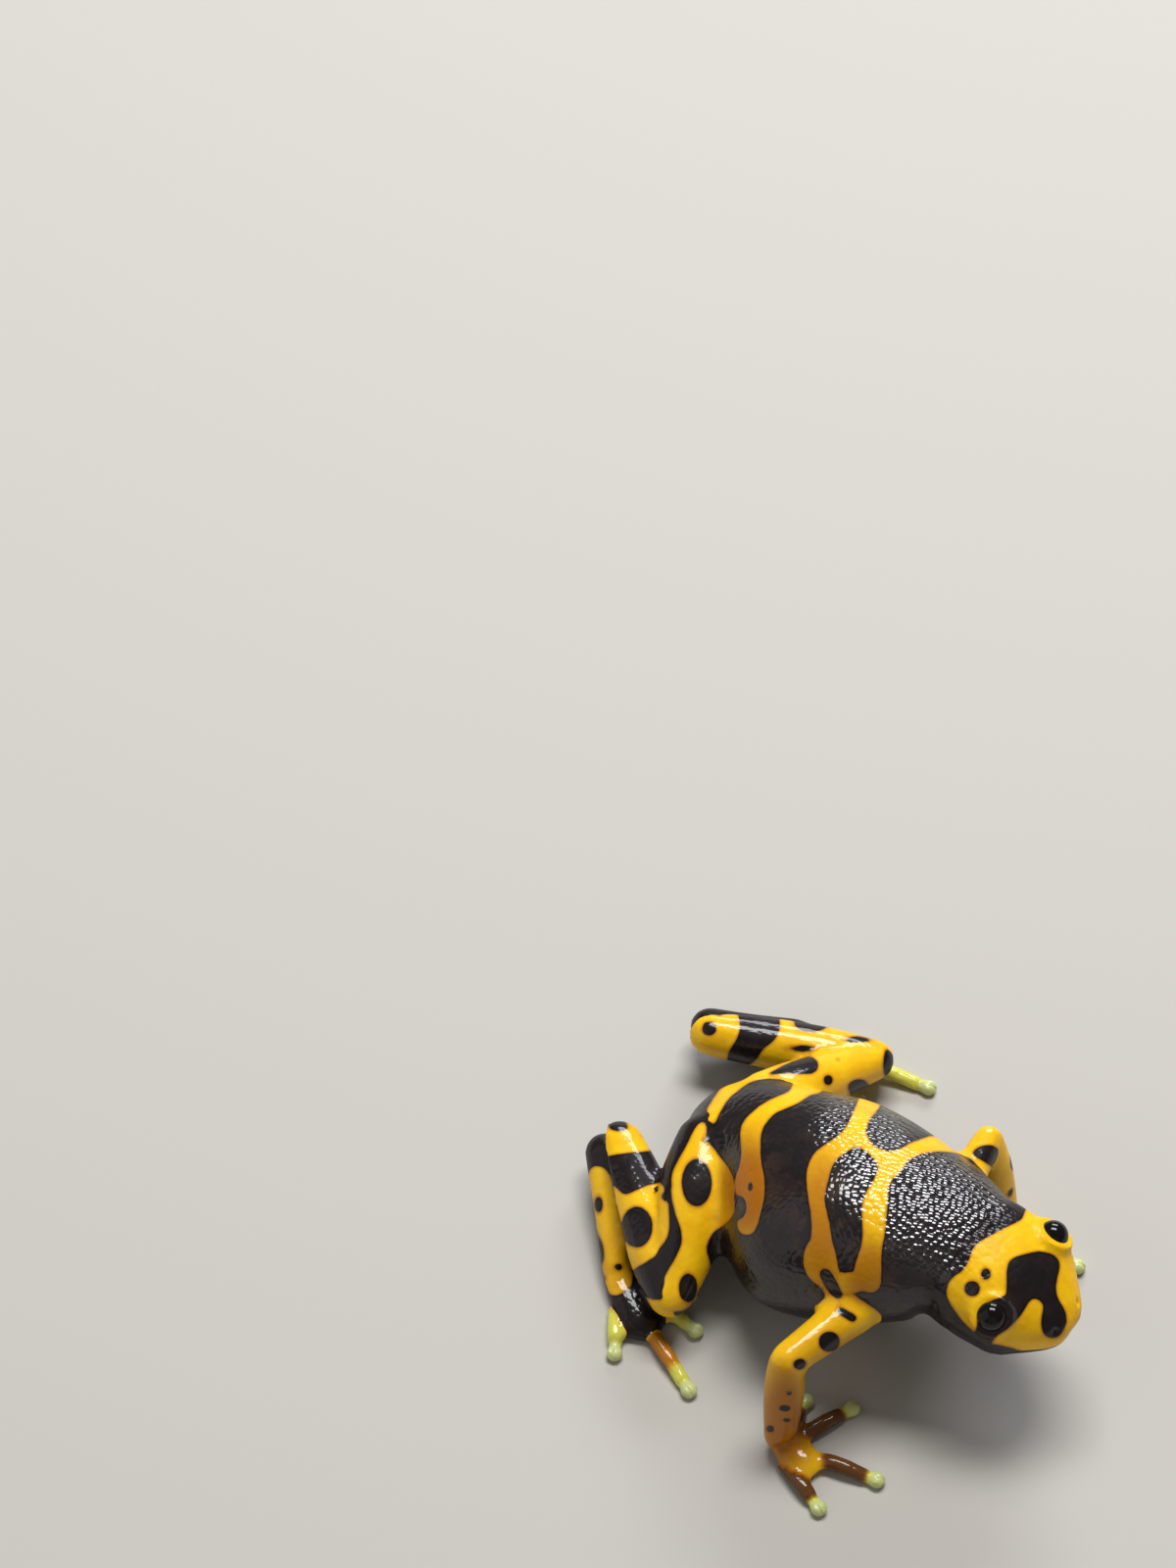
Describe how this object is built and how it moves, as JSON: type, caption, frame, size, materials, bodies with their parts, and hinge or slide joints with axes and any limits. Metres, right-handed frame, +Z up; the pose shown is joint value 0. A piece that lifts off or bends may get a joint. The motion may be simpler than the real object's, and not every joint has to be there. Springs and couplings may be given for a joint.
{
  "type": "yellow-banded poison dart frog model",
  "caption": "Life-size still model of a yellow-banded poison dart frog standing on its four feet, black with yellow bands and spots.",
  "frame": {"origin": "middle of the footprint, on the floor that the feet rest on", "axes": "+Z up, the frog faces -Y with its head turned a little to its left, and its left side is +X"},
  "size_m": [0.0336, 0.0402, 0.0154],
  "materials": {
    "skin_black": "moist granular skin, black-brown",
    "skin_yellow": "moist smooth skin, warm yellow with black spots",
    "digit_pale": "moist smooth skin, pale yellow-green",
    "eye_black": "wet, mirror-smooth, near black"
  },
  "bodies": {
    "root": {"torso": "skin_black", "head": "skin_yellow", "lower_jaw": "skin_black", "eye_left": "eye_black", "eye_right": "eye_black", "thigh_left": "skin_yellow", "shank_left": "skin_yellow", "ankle_left": "skin_yellow", "foot_left": "skin_yellow", "toe_1_left": "digit_pale", "toe_2_left": "digit_pale", "toe_3_left": "digit_pale", "toe_4_left": "digit_pale", "toe_5_left": "digit_pale", "upper_arm_left": "skin_yellow", "forearm_left": "skin_yellow", "hand_left": "skin_yellow", "finger_1_left": "digit_pale", "finger_2_left": "digit_pale", "finger_3_left": "digit_pale", "finger_4_left": "digit_pale", "thigh_right": "skin_yellow", "shank_right": "skin_yellow", "ankle_right": "skin_yellow", "foot_right": "skin_yellow", "toe_1_right": "digit_pale", "toe_2_right": "digit_pale", "toe_3_right": "digit_pale", "toe_4_right": "digit_pale", "toe_5_right": "digit_pale", "upper_arm_right": "skin_yellow", "forearm_right": "skin_yellow", "hand_right": "skin_yellow", "finger_1_right": "digit_pale", "finger_2_right": "digit_pale", "finger_3_right": "digit_pale", "finger_4_right": "digit_pale"}
  },
  "joints": []
}
